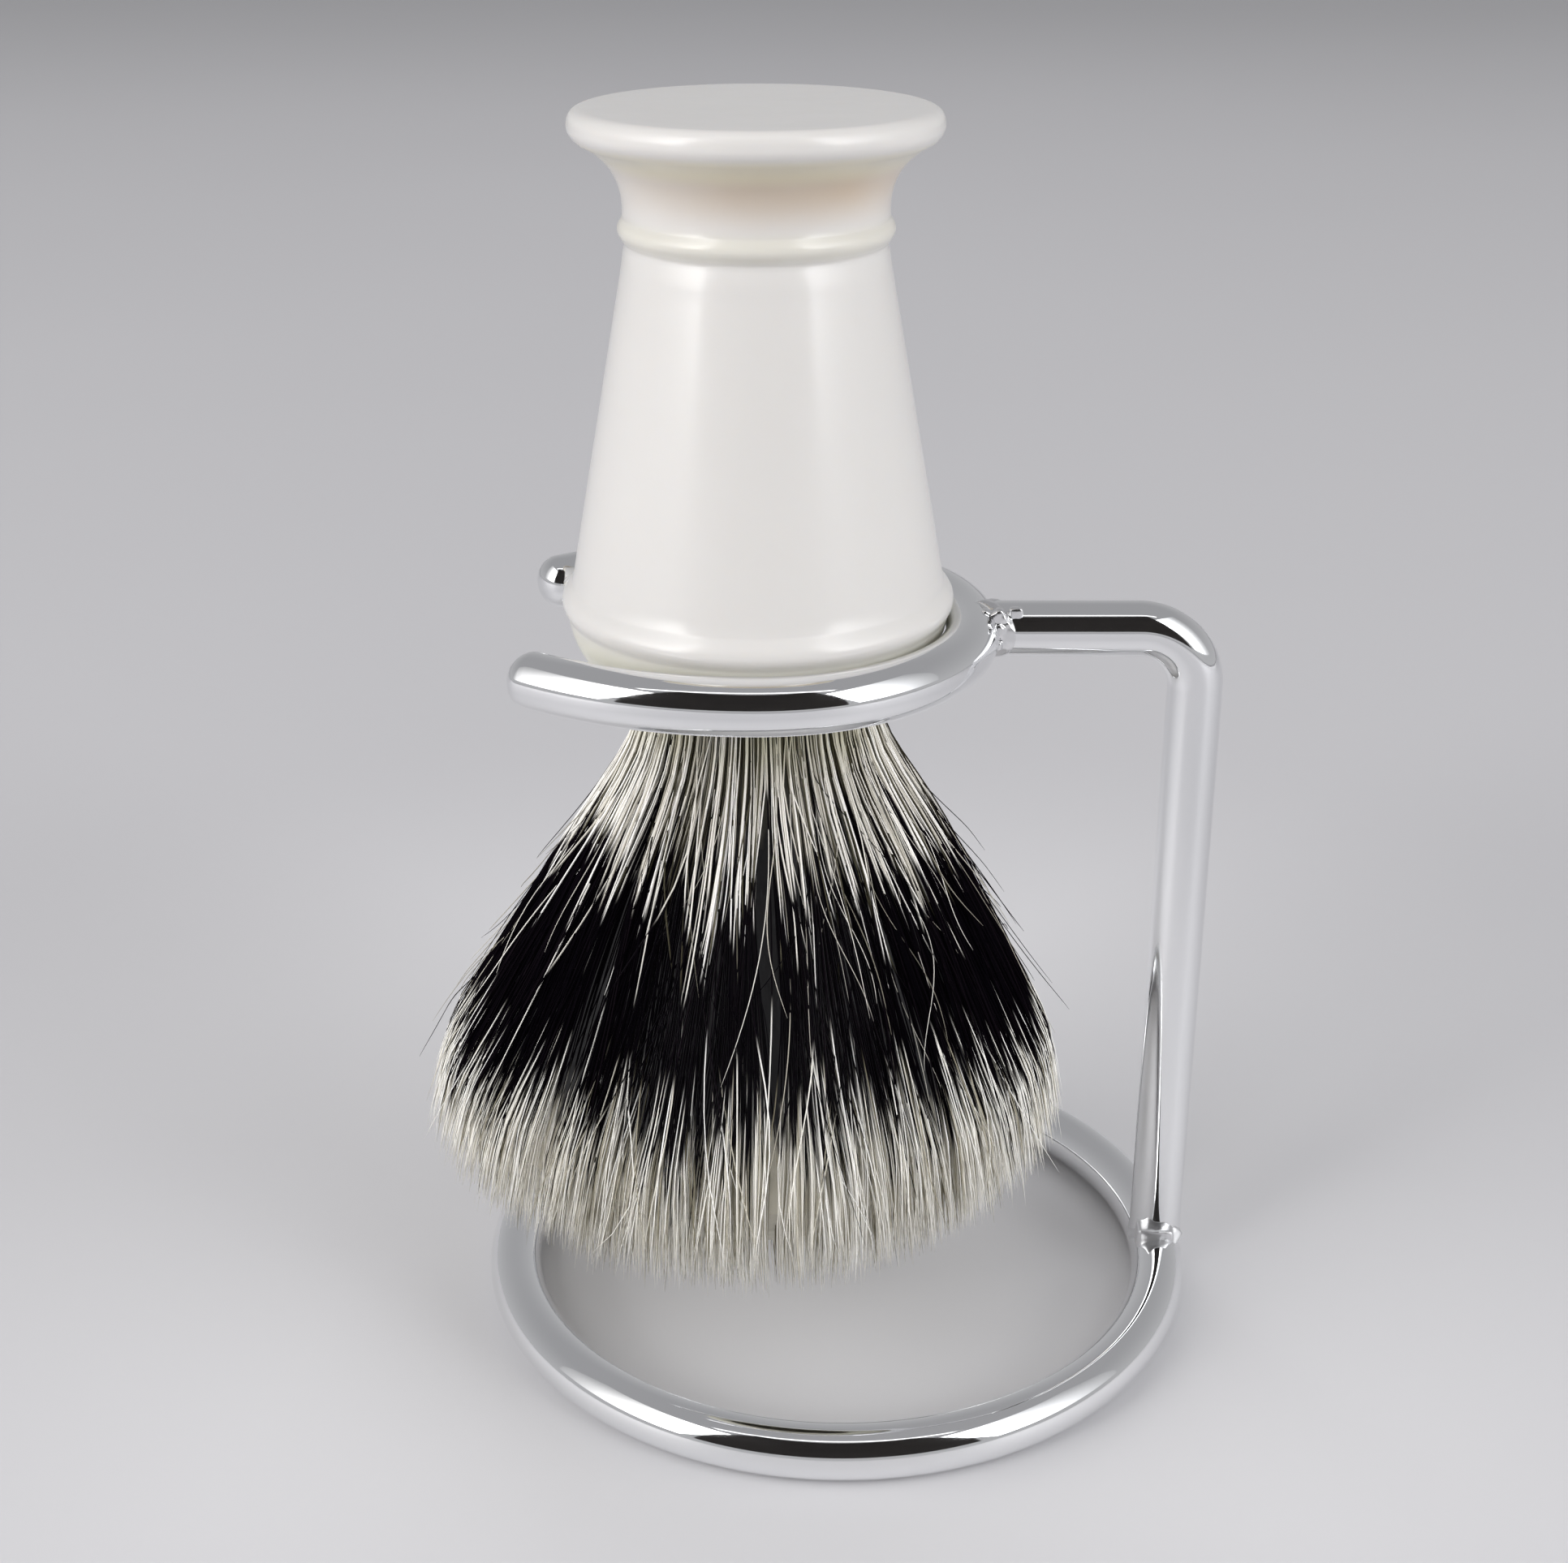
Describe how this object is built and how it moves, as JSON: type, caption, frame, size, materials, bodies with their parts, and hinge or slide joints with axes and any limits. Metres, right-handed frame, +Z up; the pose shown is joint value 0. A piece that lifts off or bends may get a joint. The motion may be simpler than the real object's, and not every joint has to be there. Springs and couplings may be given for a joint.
{
  "type": "shaving brush on stand",
  "caption": "Turned resin shaving brush with a fan of banded hair, hung tuft down in a bent-wire chrome stand and lifted out upwards.",
  "frame": {"origin": "on the table, under the middle of the whole object's box", "axes": "+Z up along the brush, from the hair to the handle's foot; +X from the brush towards the stand's post; the fork opens towards -X; Y is the symmetric direction"},
  "size_m": [0.0724, 0.069, 0.1134],
  "materials": {
    "stand_chrome": "mirror polished chrome plate on steel wire",
    "weld_chrome": "chrome plate over an uneven weld bead",
    "handle_resin": "ivory white resin, turned and buffed to a gloss",
    "setting_glue": "clear amber adhesive",
    "plug_resin": "hair roots set in hard resin",
    "binding_cord": "waxed cotton cord",
    "hair": "natural three-band hair: grey-white roots, near-black band, cream tips"
  },
  "bodies": {
    "stand": {"base_ring": "stand_chrome", "base_weld": "weld_chrome", "post_arm": "stand_chrome", "fork_weld": "weld_chrome", "fork": "stand_chrome"},
    "brush": {"handle": "handle_resin", "setting_glue": "setting_glue", "knot_plug": "plug_resin", "knot_binding": "binding_cord", "hair_tuft": "hair"}
  },
  "joints": [
    {"name": "brush_lift", "type": "slide", "parent": "stand", "child": "brush", "axis": [0, 0, 1], "range_m": [0, 0.015]}
  ]
}
